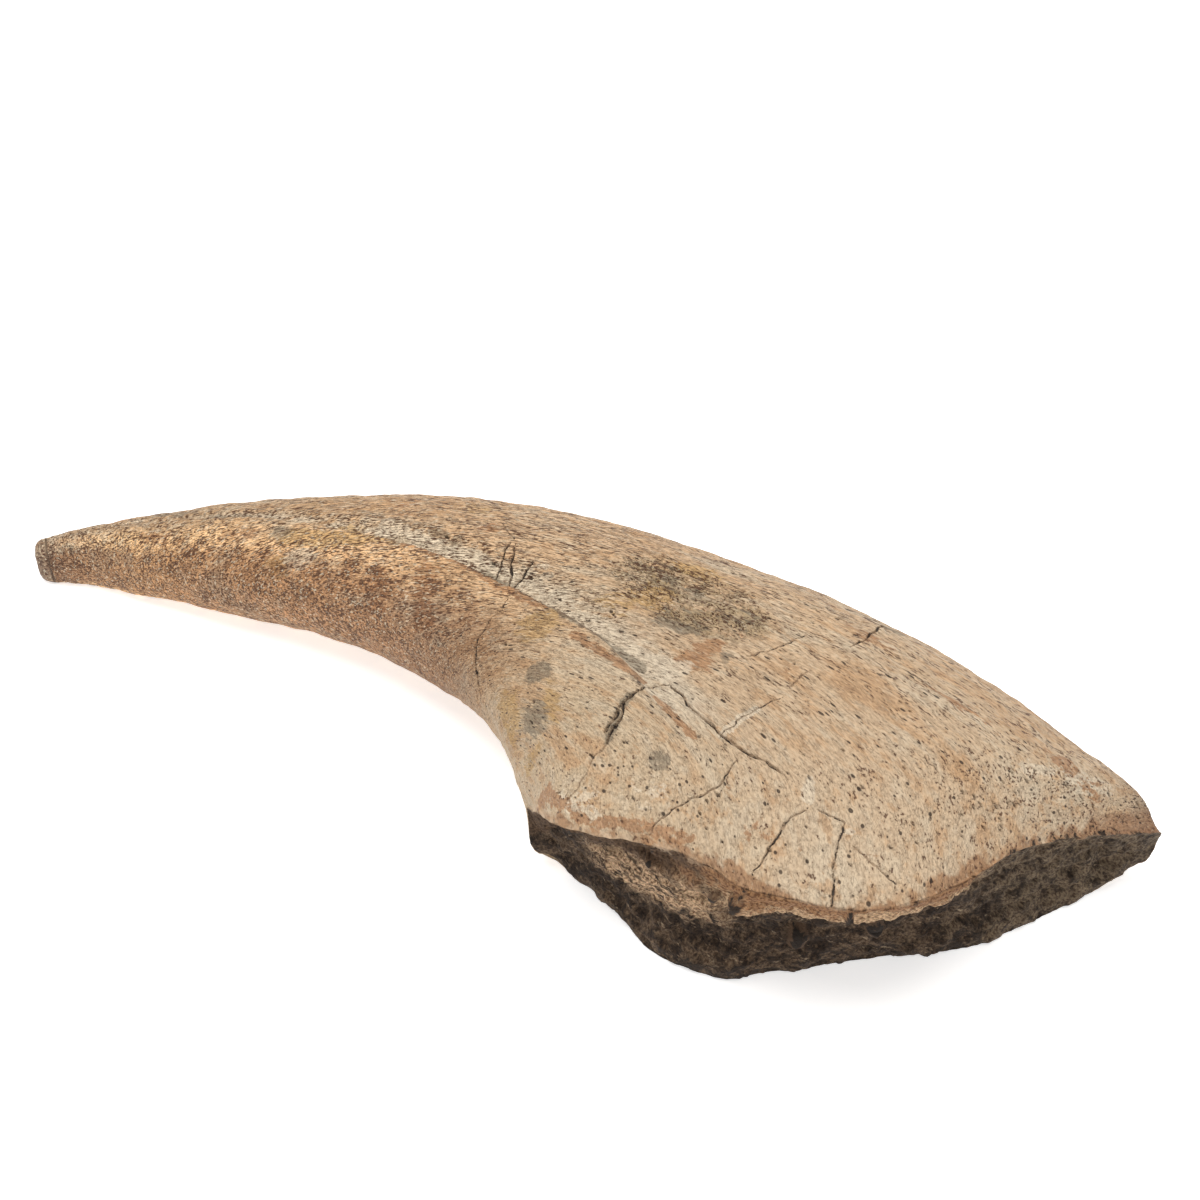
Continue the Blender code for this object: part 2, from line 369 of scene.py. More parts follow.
def splitLongEdges(shell, longest):
    # halves every edge longer than allowed there, and returns how many it halved
    ends = np.concatenate([shell.triangles[:, pair] for pair in ([0, 1], [1, 2], [2, 0])])
    count = len(shell.points)
    keys, edgeOf = np.unique(ends.min(axis=1) * count + ends.max(axis=1), return_inverse=True)
    edges = np.column_stack([keys // count, keys % count])
    edgeOf = edgeOf.reshape(3, -1).T
    start, end = shell.points[edges[:, 0]], shell.points[edges[:, 1]]
    length = lengthOf(end - start)
    facts = shell.facts[edges].mean(axis=1)
    cut = length > longest((start + end) / 2, facts)
    if not cut.any():
        return 0
    widest = length[edgeOf].argmax(axis=1)
    rows = np.arange(len(edgeOf))
    while True:  # a triangle that is cut is also cut across its longest edge, so none turns into a sliver
        wider = cut.copy()
        wider[edgeOf[rows, widest][cut[edgeOf].any(axis=1)]] = True
        if (wider == cut).all():
            break
        cut = wider
    normal = shell.normals()[edges]
    bulge = ((end - start) * (normal[:, 1] - normal[:, 0])).sum(axis=1) / 8
    middle = (start + end) / 2 + normal.mean(axis=1) * bulge[:, None]
    number = np.full(len(edges), -1)
    number[cut] = count + np.arange(cut.sum())
    shell.points = np.concatenate([shell.points, middle[cut]])
    shell.facts = np.concatenate([shell.facts, facts[cut]])
    # turn each triangle so that its longest edge comes first
    turned = (widest[:, None] + np.arange(3)) % 3
    corner = np.take_along_axis(shell.triangles, turned, axis=1)
    half = np.take_along_axis(number[edgeOf], turned, axis=1)
    a, b, c = corner.T
    ab, bc, ca = half.T
    none, first, second, third = ab < 0, ab >= 0, bc >= 0, ca >= 0
    kept = [corner[none]]
    for chosen, shapes in (
        (first & ~second & ~third, ((a, ab, c), (ab, b, c))),
        (first & second & ~third, ((a, ab, c), (ab, b, bc), (ab, bc, c))),
        (first & ~second & third, ((a, ab, ca), (ab, c, ca), (ab, b, c))),
        (first & second & third, ((a, ab, ca), (ab, b, bc), (ab, bc, c), (ab, c, ca))),
    ):
        kept += [np.stack(shape, axis=1)[chosen] for shape in shapes]
    shell.triangles = np.concatenate(kept)
    return int(cut.sum())


# Cracks on the flank that shows: width, depth, path seen from above, all in mm.
cracks = {
    "fanLeft": (0.35, 0.45, ((-3.3, 15.2), (-2.6, 18.1), (-2, 25.1))),
    "fanMiddle": (0.42, 0.4, ((-5.9, 17.2), (-5.1, 19.3), (-4.4, 20.4), (-3, 26.1))),
    "fanRight": (0.4, 0.45, ((-3.2, 15.3), (-0.1, 17.2), (1.6, 19.6))),
    "fanThin": (0.25, 0.25, ((-2, 26.1), (-4, 30.8), (-5.5, 34.9))),
    "bellyBend": (0.33, 0.34, (
        (-2.9, 9.9), (-4, 7.8), (-5.5, 6.7), (-7.8, 4.1), (-8.1, 1.6), (-8, -0.1), (-7.4, -2.8),
    )),
    "deep": (0.75, 1, (
        (20.5, -17.6), (19.9, -18.7), (18.3, -20.1), (16.8, -21.7), (15.1, -25.3), (14.3, -27),
    )),
    "deepStrand": (0.6, 0.8, ((17.6, -21), (17.4, -22.6), (16.6, -24.7), (15.5, -26.6), (14.5, -29))),
    "deepStart": (0.4, 0.3, ((24.6, -16.6), (22.3, -16.8), (20.5, -17.6))),
    "deepEnd": (0.25, 0.14, ((14.5, -29), (12.4, -32.1), (11.2, -34), (8.4, -37.9))),
    "long": (0.45, 0.7, (
        (24.6, -16.6), (26.3, -19.5), (28.3, -24.2), (32, -30.6), (35.2, -34.2), (38.2, -36.9),
        (41.6, -40.3),
    )),
    "netFirst": (0.28, 0.2, ((38.3, -12.9), (39.2, -16.1), (41.9, -18.5), (44.2, -18.8), (47.9, -14))),
    "netSecond": (0.28, 0.2, ((63.2, -34.4), (63.9, -36.3), (64.8, -37.9))),
    "upperBranch": (0.3, 0.26, ((32, -31.6), (34.5, -28), (37.7, -25.3), (42.4, -22))),
    "lowerBranch": (0.28, 0.28, (
        (34.5, -36.3), (31.1, -41.2), (26.6, -43.3), (22.5, -45.7), (20.6, -47.9),
    )),
    "rimFirst": (0.3, 0.34, ((44, -45.9), (41.7, -47.6), (38.5, -52.2), (36.1, -55.7), (34.8, -57.4))),
    "rimSecond": (0.3, 0.36, (
        (45.7, -46.1), (48.9, -49.1), (48.4, -51.3), (47.3, -53.2), (46.5, -58.9), (45.7, -63),
    )),
    "rimThird": (0.28, 0.28, ((50.1, -52.9), (52.1, -55.7), (55, -59.1))),
    "backLong": (0.5, 0.45, ((55.5, -6), (58.8, -2.3), (63.1, 5.3), (65.9, 4.7))),
    "backShort": (0.35, 0.3, ((37.9, -10.8), (44.1, -6.8), (48.5, -2.5))),
}
# Where cracks run on over the rim: share of the rim, share of the height where they end, width, depth.
rimCracks = (
    (0.245, 0.84, 0.5, 0.7), (0.37, 0.8, 0.5, 0.8), (0.487, 0.82, 0.6, 1.2), (0.56, 0.86, 0.35, 0.5),
)
# Black pits in the broken face: share of the rim, share of the height, radius, depth.
facePits = (
    (0.243, 0.78, 1.1, 1), (0.362, 0.8, 1.4, 1.5), (0.33, 0.72, 1.2, 0.8), (0.45, 0.35, 2.2, 1.6),
    (0.55, 0.4, 2, 1.4),
)
crackWobble = ((2.4, 0.5), (0.8, 0.18))  # size and reach of the wander, in mm


def noiseAt(points, size, shift=0.0, octaves=1, soft=0.7):
    # noise from about -1 to 1 at points, for features of this size in mm, or a size for each axis; the
    # higher soft is, the fainter is each finer octave
    scaled = np.asarray(points, float) / np.asarray(size, float) + shift
    if octaves == 1:
        return np.array([noise.noise(p) for p in scaled.tolist()])
    return np.array([noise.fractal(p, soft, 2.0, octaves) for p in scaled.tolist()])


def distanceToPath(points, path, reach=3.0):
    # distance to a path of straight stretches, at most reach, and the share of the path passed at that spot
    path = np.asarray(path, float)
    best = np.full(len(points), float(reach))
    spot = np.zeros(len(points))
    run = np.concatenate([[0], np.cumsum(lengthOf(np.diff(path, axis=0)))])
    for start, end, behind in zip(path, path[1:], run):
        low, high = np.minimum(start, end) - reach, np.maximum(start, end) + reach
        near = np.flatnonzero(((points > low) & (points < high)).all(axis=1))
        step = end - start
        share = np.clip((points[near] - start) @ step / (step @ step), 0, 1)
        away = lengthOf(points[near] - start - share[:, None] * step)
        closer = away < best[near]
        best[near[closer]] = away[closer]
        spot[near[closer]] = (behind + share[closer] * lengthOf(step)) / run[-1]
    return best, spot


def wander(plan):
    # plan positions pushed about by noise, so that lines drawn through them turn ragged
    flat = np.column_stack([plan, np.zeros(len(plan))])
    moved = plan.copy()
    for size, reach in crackWobble:
        moved[:, 0] += reach * noiseAt(flat, size, 3.7)
        moved[:, 1] += reach * noiseAt(flat, size, 19.3)
    return moved


# The larger vessel pores that are cut into the mesh; the fine ones are in the finish.
pores = {
    "count": 150,
    "length": (0.6, 1.3),
    "width": (0.3, 0.55),
    "depth": (0.3, 0.6),
    "seed": 11,
    "from": 0.02,  # where they start and end along the claw
    "to": 0.62,
}


def grainDirection(along, place):
    # which way the bone's fibres run, seen from above
    ahead = tableAt("stations", np.minimum(along + 0.01, 1))
    here = tableAt("stations", np.maximum(along - 0.01, 0))
    belly, back = (ahead - here)[:, 0:2], (ahead - here)[:, 2:4]
    mixed = belly * (1 - place[:, None]) / 2 + back * (1 + place[:, None]) / 2
    return mixed / lengthOf(mixed)[:, None]


def choosePores(shell):
    draw = np.random.default_rng(pores["seed"])
    normal = shell.normals()
    along, place, _, face = shell.facts.T
    weight = (normal[:, 2] > 0.45) * (face == 0) * (along > pores["from"]) * (along < pores["to"])
    weight = weight * (0.35 + 0.65 * smoothStep(place, -0.4, 0.3)) * (1.2 - along)
    chosen = draw.choice(len(along), pores["count"], replace=False, p=weight / weight.sum())

    def drawn(key):
        return draw.uniform(*pores[key], pores["count"])

    return {
        "at": shell.points[chosen] + draw.uniform(-0.5, 0.5, (pores["count"], 3)) * (1, 1, 0),
        "direction": grainDirection(along[chosen], place[chosen]),
        "length": drawn("length"),
        "width": drawn("width"),
        "depth": drawn("depth"),
    }


# The spongy worn patch: outline seen from above, in mm.
spongePatch = {
    "outline": (
        (15.2, 17.1), (22.5, 21), (33.1, 16.4), (41.3, 7), (42.7, -2.5), (35.9, -6), (31, -3), (24, 1),
        (17.5, 9.2),
    ),
    "soften": 5.0,
    "depth": 0.45,
}


def insideOutline(plan, outline, soften):
    # 1 inside the outline, falling to 0 over the softening distance outside it
    ring = np.array(outline + outline[:1], float)
    away, _ = distanceToPath(plan, ring)
    inside = np.zeros(len(plan), bool)
    for (x1, y1), (x2, y2) in zip(ring, ring[1:]):
        crosses = (y1 > plan[:, 1]) != (y2 > plan[:, 1])
        level = y2 - y1 if y2 != y1 else 1e-9
        inside ^= crosses & (plan[:, 0] < (x2 - x1) * (plan[:, 1] - y1) / level + x1)
    return 1 - smoothStep(np.where(inside, -away, away), -soften / 2, soften / 2)


# Mineral stains on the flank that shows. Spots: x, y, half length, half width, turn in degrees, strength.
# Bands: path, half width, strength. All in mm seen from above.
stainSpots = {
    "chalk": (
        (44.5, -43, 2.6, 1, 80, 1), (49.5, -50.5, 0.9, 0.7, 0, 0.7), (27.1, -1.1, 0.8, 0.6, 0, 1),
        (-43.6, 33.1, 3.6, 2, -20, 0.8), (2.5, 17, 3, 2, -30, 0.5), (25, -13.5, 3.2, 2, 60, 0.55),
        (10.5, -38.5, 5, 2.5, -40, 0.45), (22, -40.5, 5, 3.5, 0, 0.35), (-81, 55, 2.6, 1, -10, 0.6),
        (-76, 50, 2.2, 0.8, -20, 0.5), (-88, 60, 3, 0.8, -10, 0.6),
    ),
    "ash": (
        (22.6, -34.5, 1.6, 2.4, 0, 0.75), (3.1, -8.7, 2.4, 2, -40, 0.9), (2.7, -17.8, 2.4, 4.6, 10, 0.62),
        (34.1, -11.1, 1.4, 1.6, 0, 0.6), (26.7, -0.6, 4.2, 1.7, -15, 1), (-48.4, 40.1, 2.6, 1.8, -20, 0.75),
        (-96.8, 52.7, 4, 2, -10, 0.4), (-75.5, 56.5, 5, 1.8, -8, 0.55), (-70, 54, 5, 1.6, -8, 0.5),
        (30, 10.5, 2.2, 2.6, 0, 0.6), (26, 14, 2.6, 2, 0, 0.6), (36.5, -25, 1.6, 1.2, 0, 0.5),
        (7.5, 41.5, 3, 1.2, -30, 0.45), (33, 32, 4, 1.4, -38, 0.5), (25.6, -30, 2.6, 1.4, -50, 0.45),
    ),
    "ochre": (
        (-2.1, -13.4, 2.2, 5.2, 10, 0.8), (5.4, -17, 1.4, 5, 10, 0.6), (1, -24, 3, 1.6, 10, 0.6),
        (3, 2.4, 3.4, 4.2, -40, 0.85), (23, 8, 4, 5, 0, 0.6), (31, 17.5, 5, 2.5, -20, 0.6),
        (-36, 38.5, 4, 1.4, -15, 0.7), (-48, 33.5, 3.4, 1.6, -20, 0.7), (17, 6, 4.5, 4, -40, 0.45),
        (-10, 41, 5, 3, -20, 0.4),
    ),
    "rust": (
        (29.2, -11, 3, 3, 0, 0.65), (32, -7.4, 3, 2.4, 20, 0.65), (24.5, -24.5, 4, 0.8, -55, 0.35),
        (-18, 16, 2.4, 8, 0, 0.5), (-27.5, 21, 2.2, 7, 0, 0.4), (-7.5, 30.5, 3, 2.5, -20, 0.4),
        (-24, 44, 2.6, 6, 0, 0.35), (-57, 42, 5, 2, -20, 0.4), (-74.5, 47.5, 7, 1.6, -20, 0.5),
        (36, -50, 3, 1.6, -30, 0.4), (72, -20, 6, 2.4, -50, 0.35), (88, -30, 6, 2, -40, 0.5),
        (60, -2, 5, 2, -45, 0.35),
    ),
}
stainBands = {
    "chalk": (
        (((32.5, -31), (34.5, -28), (37.7, -25.3)), 0.8, 0.9),
        (((80, -33), (88.1, -31.9), (93.6, -30.3)), 1.8, 0.5),
        ((
            (-27.4, 36.1), (-25.3, 33.8), (-15.3, 26.5), (-9.5, 22.4), (-5.6, 19), (5.5, 9.4), (12.5, 1.3),
            (20.9, -8.9), (26.5, -12.8),
        ), 2.1, 0.95),
    ),
    "ash": (
        (((3, 9.9), (6.8, 5.5), (9.3, 2.5), (12.7, -1), (16.5, -5.5), (20.3, -10.7)), 1.1, 1),
        (((-8.5, 20.5), (-5, 17.6), (-3.5, 16)), 1, 0.8),
        (((-65.3, 50.1), (-62.3, 49.5), (-54.8, 47.1)), 0.7, 0.8),
        (((-34, 43.5), (-22, 35.5), (-12, 28)), 1.2, 0.5),
        (((18.3, -20.1), (16.8, -22.5), (14.8, -28.5)), 0.9, 0.7),
        (((63.5, 5), (66.5, 4)), 1, 0.8),
    ),
    "ochre": (
        (((-46.5, 38.3), (-37, 34.7), (-24.9, 31.9)), 2, 0.85),
    ),
    "rust": (
        (((-23, 29), (-13, 22.5), (-4, 13.5), (4, 7)), 0.7, 0.9),
        (((9, -1.5), (17, -11), (20.5, -15.5)), 0.8, 0.8),
        (((22.5, -20.5), (26, -27), (28, -31)), 0.5, 0.8),
        (((4, -32), (11, -41.5), (26.5, -50)), 1, 0.6),
    ),
}


def stainAmount(plan, tone):
    amount = np.zeros(len(plan))
    for x, y, long, wide, turn, strength in stainSpots[tone]:
        turned = math.radians(turn)
        offset = plan - (x, y)
        lengthwise = (offset @ (math.cos(turned), math.sin(turned))) / long
        crosswise = (offset @ (-math.sin(turned), math.cos(turned))) / wide
        amount = np.maximum(amount, strength * (1 - smoothStep(np.hypot(lengthwise, crosswise), 0.3, 1.7)))
    for path, wide, strength in stainBands[tone]:
        away, _ = distanceToPath(plan, path, wide * 1.8)
        amount = np.maximum(amount, strength * (1 - smoothStep(away, wide * 0.3, wide * 1.7)))
    return amount


def addLumps(shell, shift, rimAway):
    # the low lumps and worn hollows of the whole claw, and the rough broken face
    normal = shell.normals()
    _, place, rise, face = shell.facts.T
    lumps = clawForm["lumpHeight"] * noiseAt(shell.points, clawForm["lumpSize"], octaves=3, soft=0.8)
    turn = smoothStep(place, 0.4, 0.8)
    ends = (clawForm["rimRound"], clawForm["rimDrop"])
    reach, drop = (atBelly * (1 - turn) + atBack * turn for atBelly, atBack in ends)
    drop *= smoothStep(1 - np.abs(place), 0.0, 0.4)
    shell.points[:, 2] -= drop * np.maximum(1 - rimAway / reach, 0) ** 2 * smoothStep(rise, 0.45, 0.8)
    corners = smoothStep(1 - np.abs(place), 0.02, 0.12)
    rough = clawForm["faceRoughHeight"] * noiseAt(shell.points, clawForm["faceRoughSize"], octaves=3)
    lumps += rough * smoothStep(face, 0.3, 1) * smoothStep(1 - rise, 0.02, 0.15) * corners
    lumps += clawForm["wearHeight"] * noiseAt(shell.points, clawForm["wearSize"], 3.3, octaves=2) * (1 - face)
    for x, y, radius, depth in clawForm["hollows"]:
        away = (shell.points[:, 0] - x) ** 2 + (shell.points[:, 1] - y) ** 2
        lumps -= depth * np.exp(-away / radius**2) * (normal[:, 2] > 0.3)
    shell.points += normal * lumps[:, None]
    shell.points[:, 2] -= clawForm["restFlat"]
    shell.points[:, :2] += shift


# The fine relief: size of its grains, in mm or in mm along the fibres, across and up, then its shift, octaves
# and height in mm.
relief = {
    "fibres": ((7, 1.3, 1.3), 2.3, 2, 0.1),
    "pitted": ((2.2, 1.1, 1.1), 8.9, 2, 0.16),
    "sponge": (0.9, 5.1, 2, 1.0),
    "layered": ((6, 6, 1.6), 6.2, 2, 0.5),
    "grit": (1.5, 11.7, 3, 0.42),
    "weave": (1.6, 4.4, 1, 0.4),  # pushes the cracks and pits of the broken face about
}


def reliefAt(kind, points):
    size, shift, octaves, height = relief[kind]
    return height * noiseAt(points, size, shift, octaves)


def cutCracks(plan, showing):
    # the depth that the flank's cracks take off at each point, and their mask
    depth, mask = np.zeros(len(plan)), np.zeros(len(plan))
    for number, (width, deep, path) in enumerate(cracks.values()):
        away, spot = distanceToPath(plan, path)
        flat = np.column_stack([spot * 9, np.full(len(spot), number * 3.1), np.zeros(len(spot))])
        near = away < 3
        wide = np.zeros(len(plan))
        wide[near] = width / 2 * (0.85 + 0.6 * noiseAt(flat[near], 1.0))
        wide *= 0.45 + 0.55 * smoothStep(0.5 - np.abs(spot - 0.5), 0, 0.12)  # thinner towards both ends
        cut = (1 - smoothStep(away, wide * 0.35, wide * 1.25 + 0.02)) * near * showing
        depth += deep * cut
        mask = np.maximum(mask, cut * min(deep / 0.35, 1))
    return depth, mask


def cutPores(plan, chosenPores, showing):
    depth, mask = np.zeros(len(plan)), np.zeros(len(plan))
    for at, (x, y), length, width, deep in zip(*chosenPores.values()):
        offset = plan - at[:2]
        lengthwise = offset @ (x, y) / (length / 2)
        crosswise = offset @ (-y, x) / (width / 2)
        cut = (1 - smoothStep(np.hypot(lengthwise, crosswise), 0.45, 1.1)) * showing
        depth += deep * cut
        mask = np.maximum(mask, cut)
    return depth, mask


def cutFace(shell):
    # the cracks that run on over the rim, and the pits of the broken face
    _, place, rise, face = shell.facts.T
    depth, mask = np.zeros(len(rise)), np.zeros(len(rise))
    share = (place + 1) / 2
    rimLength = lengthOf(np.diff(np.array(clawForm["upperRim"]), axis=0)).sum()
    weave = reliefAt("weave", shell.points)
    for at, end, width, deep in rimCracks:
        sideways = np.abs((share - at) * rimLength + weave)
        cut = (1 - smoothStep(sideways, width * 0.2, width * 0.8)) * (face > 0)
        cut *= smoothStep(rise, end - 0.05, end + 0.05)
        depth += deep * cut
        mask = np.maximum(mask, cut)
    for at, level, radius, deep in facePits:
        away = np.hypot((share - at) * rimLength, (rise - level) * clawForm["faceFullHeight"]) + weave
        cut = (1 - smoothStep(away, radius * 0.3, radius * 1.1)) * (face > 0)
        depth += deep * cut
        mask = np.maximum(mask, cut)
    return depth, mask


def addDetail(shell, chosenPores):
    # all relief finer than the lumps, with the masks that the finish reads
    normal = shell.normals()
    along, place, rise, face = shell.facts.T
    showing = smoothStep(normal[:, 2], 0.15, 0.4) * (1 - smoothStep(face, 0.4, 0.9))
    plan = wander(shell.points[:, :2])
    crackDepth, crackAndLipShadeMask = cutCracks(plan, showing)
    poreDepth, poreMask = cutPores(shell.points[:, :2], chosenPores, showing)
    faceDepth, faceMask = cutFace(shell)
    height = -crackDepth - poreDepth - faceDepth
    # the painted shade line under the groove's lip joins the crack mask
    crackAndLipShadeMask = np.maximum(crackAndLipShadeMask, lipShadeLine(shell.points, along, place) * showing)

    spongy = insideOutline(plan, spongePatch["outline"], spongePatch["soften"]) * showing
    cells = np.zeros(len(height))
    picked = spongy > 0.01
    cells[picked] = reliefAt("sponge", shell.points[picked])
    height -= spongePatch["depth"] * spongy * (0.5 + smoothStep(cells, 0.05, -0.35))

    grain = grainSpace(shell)
    fibres = reliefAt("fibres", grain) + np.minimum(reliefAt("pitted", grain), 0.016)
    rough = reliefAt("grit", shell.points) + reliefAt("layered", shell.points)
    under = clawForm["band"]["under"]
    smoothBand = bandStrength((place + 1) / 2) * smoothStep(rise, under, under + 0.06)
    corners = smoothStep(1 - np.abs(place), 0.0, 0.1) * (0.35 + 0.65 * smoothStep(rise, 0.0, 0.25))
    broken = smoothStep(face, 0.3, 1)
    height += fibres * (1 - broken) + rough * broken * (1 - 0.6 * smoothBand) * corners

    shell.points += normal * height[:, None]
    shell.points[:, 2] = np.maximum(shell.points[:, 2], 0)
    masks = {"crack": np.maximum(crackAndLipShadeMask, faceMask), "pore": poreMask, "sponge": spongy}
    for tone in stainSpots:
        masks[tone] = stainAmount(plan, tone) * showing
    masks["groove"] = grooveBand(along, place) * showing
    return masks


def lipShadeLine(points, along, place):
    # painted shade: a dark line in the crease under the groove's lip, broken up along it
    lip, _, depth = tableAt("groove", along).T
    away = np.abs((place - lip) * halfWidth(along) - 0.25)
    near = (away < 0.6) & (depth > 0.5)
    line = np.zeros(len(points))
    patchy = smoothStep(noiseAt(points[near], 3.0, 7.7, octaves=2), -0.25, 0.15)
    line[near] = (1 - smoothStep(away[near], 0.1, 0.5)) * smoothStep(depth[near], 0.8, 1.6) * patchy * 0.85
    return line


def grooveBand(along, place):
    # 1 in the vessel groove, fading out where it is shallow
    lip, top, depth = tableAt("groove", along).T
    across = (place - lip) / (top - lip)
    return smoothStep(across, -0.03, 0.06) * (1 - smoothStep(across, 0.5, 0.95)) * smoothStep(depth, 0.1, 1.0)


def grainSpace(shell):
    # mm along the claw, from its back edge and up, so that a finish can be stretched along the fibres
    along, place = shell.facts[:, 0], shell.facts[:, 1]
    across = (1 - place) * halfWidth(along)
    grain = np.column_stack([along * clawForm["grainLength"], across, shell.points[:, 2]])
    end = along > 0.999  # the blunt end runs across the fibres
    grain[end] = shell.points[end]
    return grain


def placementShift(shell):
    # the move that brings the middle of the flanks' outline over the middle of the CAD solid
    flanks = shell.points[shell.facts[:, 3] == 0, :2]
    low, high = flanks.min(axis=0), flanks.max(axis=0)
    solidLow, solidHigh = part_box("claw")
    middle = (np.array(solidLow[:2]) + np.array(solidHigh[:2])) / 2 / mm
    return middle - (low + high) / 2


def meshFrom(name, shell, masks):
    mesh = bpy.data.meshes.new(name)
    mesh.vertices.add(len(shell.points))
    mesh.vertices.foreach_set("co", (shell.points * mm).ravel().astype(np.float32))
    mesh.loops.add(len(shell.triangles) * 3)
    mesh.loops.foreach_set("vertex_index", shell.triangles.ravel().astype(np.int32))
    mesh.polygons.add(len(shell.triangles))
    mesh.polygons.foreach_set("loop_start", np.arange(0, len(shell.triangles) * 3, 3, dtype=np.int32))
    mesh.update(calc_edges=True)
    mesh.validate()
    for key, values in masks.items():
        kind, field = ("FLOAT_VECTOR", "vector") if values.ndim > 1 else ("FLOAT", "value")
        layer = mesh.attributes.new(key, kind, "POINT")
        layer.data.foreach_set(field, values.astype(np.float32).ravel())
    mesh.shade_smooth()
    piece = bpy.data.objects.new(name, mesh)
    bpy.context.scene.collection.objects.link(piece)
    return piece


def makeSizeMap(plan, chosenPores):
    # the longest edge allowed at each spot of the flank that shows, seen from above
    cell = clawMesh["mapCell"]
    low = plan.min(axis=0) - 2
    count = ((plan.max(axis=0) + 2 - low) / cell).astype(int) + 1
    coarse = clawMesh["edgeElsewhere"]
    sizes = np.full(count, coarse)

    def window(points, margin):
        # the part of the map round these points, and the middles of its cells
        start = np.maximum(((np.min(points, axis=0) - margin - low) / cell).astype(int), 0)
        end = np.minimum(((np.max(points, axis=0) + margin - low) / cell).astype(int) + 1, count)
        part = (slice(start[0], end[0]), slice(start[1], end[1]))
        spots = np.stack(np.meshgrid(*(np.arange(*pair) for pair in zip(start, end)), indexing="ij"), axis=-1)
        return part, (spots.reshape(-1, 2) + 0.5) * cell + low

    part, spots = window(spongePatch["outline"], 2)
    spongy = insideOutline(spots, spongePatch["outline"], spongePatch["soften"]) > 0.1
    sizes[part] = np.where(spongy, clawMesh["edgeSponge"], coarse).reshape(sizes[part].shape)
    for at, length in zip(chosenPores["at"][:, :2], chosenPores["length"]):
        part, spots = window([at], length / 2 + 0.2)
        close = (lengthOf(spots - at) < length / 2 + 0.1).reshape(sizes[part].shape)
        sizes[part][close] = clawMesh["edgePore"]
    for _, _, path in cracks.values():
        part, spots = window(path, 2)
        away, _ = distanceToPath(wander(spots), path)
        close = (away < clawMesh["crackReach"]).reshape(sizes[part].shape)
        sizes[part][close] = clawMesh["edgeCrack"]
    return sizes, low


def makeClaw():
    shell = Shell()
    base, last, before = addFlanks(shell)
    rim = addFace(shell, base)
    addTip(shell, last, before)
    shell.settle()
    print("claw grid:", len(shell.triangles), "triangles")
    shift = placementShift(shell)
    chosenPores = choosePores(shell)
    chosenPores["at"][:, :2] += shift

    sizeMap, mapLow = makeSizeMap(shell.points[:, :2] + shift, chosenPores)

    def longestEdge(points, facts):
        rise, face = facts[:, 2:].T
        size = np.where(rise > 0.5, clawMesh["edgeUpper"], clawMesh["edgeLower"])
        size = np.where(face > 0.3, clawMesh["edgeFace"], size)
        top = np.flatnonzero((face < 0.9) & (rise > 0.5))
        column, row = ((points[top, :2] + shift - mapLow) / clawMesh["mapCell"]).astype(int).T
        size[top] = np.minimum(size[top], sizeMap[column, row])
        return size

    for _ in range(clawMesh["passes"]):
        if not splitLongEdges(shell, longestEdge):
            break
    print("claw refined:", len(shell.triangles), "triangles")
    rimAway, _ = distanceToPath(shell.points, shell.points[rim], clawMesh["rimReach"])
    addLumps(shell, shift, rimAway)
    masks = addDetail(shell, chosenPores)
    masks["grain"] = grainSpace(shell)
    masks["where"] = shell.facts[:, :3]
    away, _ = distanceToPath(shell.points, shell.points[rim], clawMesh["rimReach"])
    masks["rim"] = np.where(shell.facts[:, 3] > 0, -away, away)
    claw = meshFrom("clawSkin", shell, masks)
    print("claw detailed")
    return claw


class Wire:
    # a node's output whose sums and products become Math nodes
    def __init__(self, finish, socket):
        self.finish, self.socket = finish, socket

    def maths(self, operation, first, second):
        return self.finish.add("ShaderNodeMath", {"operation": operation}, {0: first, 1: second})

    def __add__(self, other):
        return self.maths("ADD", self, other)

    __radd__ = __add__

    def __sub__(self, other):
        return self.maths("SUBTRACT", self, other)

    def __rsub__(self, other):
        return self.maths("SUBTRACT", other, self)

    def __mul__(self, other):
        return self.maths("MULTIPLY", self, other)

    __rmul__ = __mul__

    def __abs__(self):
        return self.finish.add("ShaderNodeMath", {"operation": "ABSOLUTE"}, {0: self})


